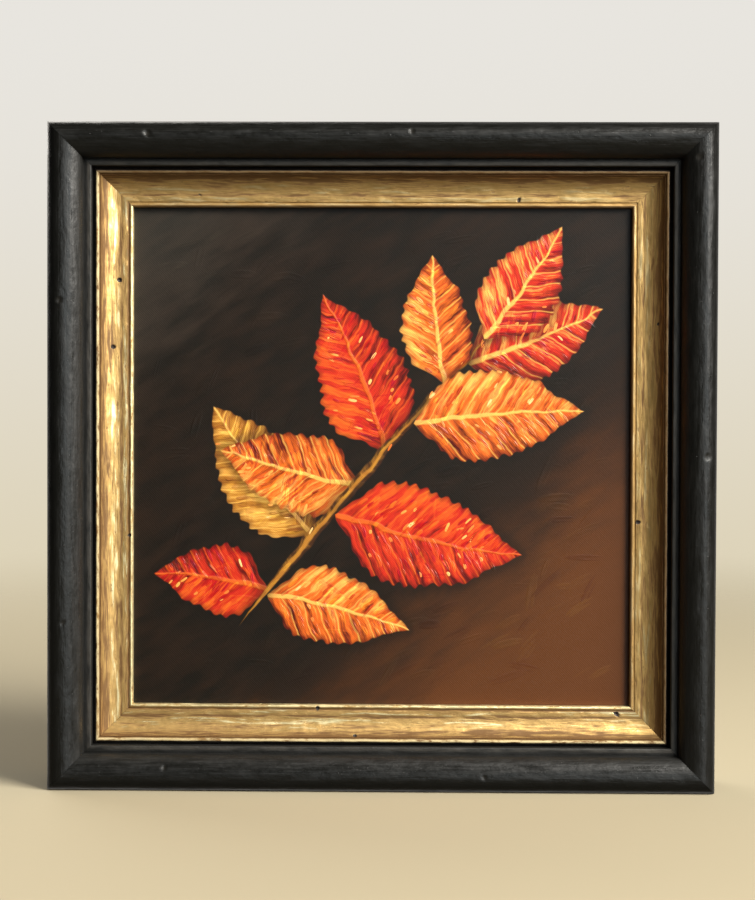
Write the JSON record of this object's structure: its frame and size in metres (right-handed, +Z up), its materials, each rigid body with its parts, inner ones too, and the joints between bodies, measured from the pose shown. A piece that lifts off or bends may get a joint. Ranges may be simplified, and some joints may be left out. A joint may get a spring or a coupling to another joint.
{
  "type": "framed canvas picture",
  "caption": "Square picture on stretched canvas in a black moulded wooden frame with a gilt inner slip, hung on a wall by a toothed plate behind its top rail.",
  "frame": {"origin": "middle notch of the toothed hanger, on the plane of the wall", "axes": "+X to the right of someone looking at the picture, +Y into the wall, +Z up"},
  "size_m": [0.258, 0.0384, 0.258],
  "materials": {
    "black_moulding": "satin black lacquer",
    "gilt_slip": "rubbed gold leaf over brown bole",
    "painted_canvas": "oil paint on woven cotton",
    "stretcher_pine": "planed pine",
    "key_beech": "sawn beech",
    "zinc_steel": "zinc plated steel",
    "brass_plate": "brass plated steel",
    "felt": "brown felt"
  },
  "bodies": {
    "root": {"canvas": "painted_canvas", "clip_left_1": "zinc_steel", "clip_left_2": "zinc_steel", "clip_right_1": "zinc_steel", "clip_right_2": "zinc_steel", "felt_pad_left": "felt", "felt_pad_right": "felt", "hanger": "brass_plate", "hanger_nail_1": "brass_plate", "hanger_nail_2": "brass_plate", "key_bottom_1": "key_beech", "key_bottom_2": "key_beech", "key_left_1": "key_beech", "key_left_2": "key_beech", "key_right_1": "key_beech", "key_right_2": "key_beech", "key_top_1": "key_beech", "key_top_2": "key_beech", "mitre_nail_bottom": "zinc_steel", "mitre_nail_left": "zinc_steel", "mitre_nail_right": "zinc_steel", "mitre_nail_top": "zinc_steel", "rail_bottom": "black_moulding", "rail_left": "black_moulding", "rail_right": "black_moulding", "rail_top": "black_moulding", "screw_left_1_bar": "zinc_steel", "screw_left_1_rail": "zinc_steel", "screw_left_2_bar": "zinc_steel", "screw_left_2_rail": "zinc_steel", "screw_right_1_bar": "zinc_steel", "screw_right_1_rail": "zinc_steel", "screw_right_2_bar": "zinc_steel", "screw_right_2_rail": "zinc_steel", "slip_bottom": "gilt_slip", "slip_left": "gilt_slip", "slip_right": "gilt_slip", "slip_top": "gilt_slip", "staple_bottom_1": "zinc_steel", "staple_bottom_2": "zinc_steel", "staple_bottom_3": "zinc_steel", "staple_left_1": "zinc_steel", "staple_left_2": "zinc_steel", "staple_left_3": "zinc_steel", "staple_right_1": "zinc_steel", "staple_right_2": "zinc_steel", "staple_right_3": "zinc_steel", "staple_top_1": "zinc_steel", "staple_top_2": "zinc_steel", "staple_top_3": "zinc_steel", "stretcher_bottom": "stretcher_pine", "stretcher_left": "stretcher_pine", "stretcher_right": "stretcher_pine", "stretcher_top": "stretcher_pine"}
  },
  "joints": []
}
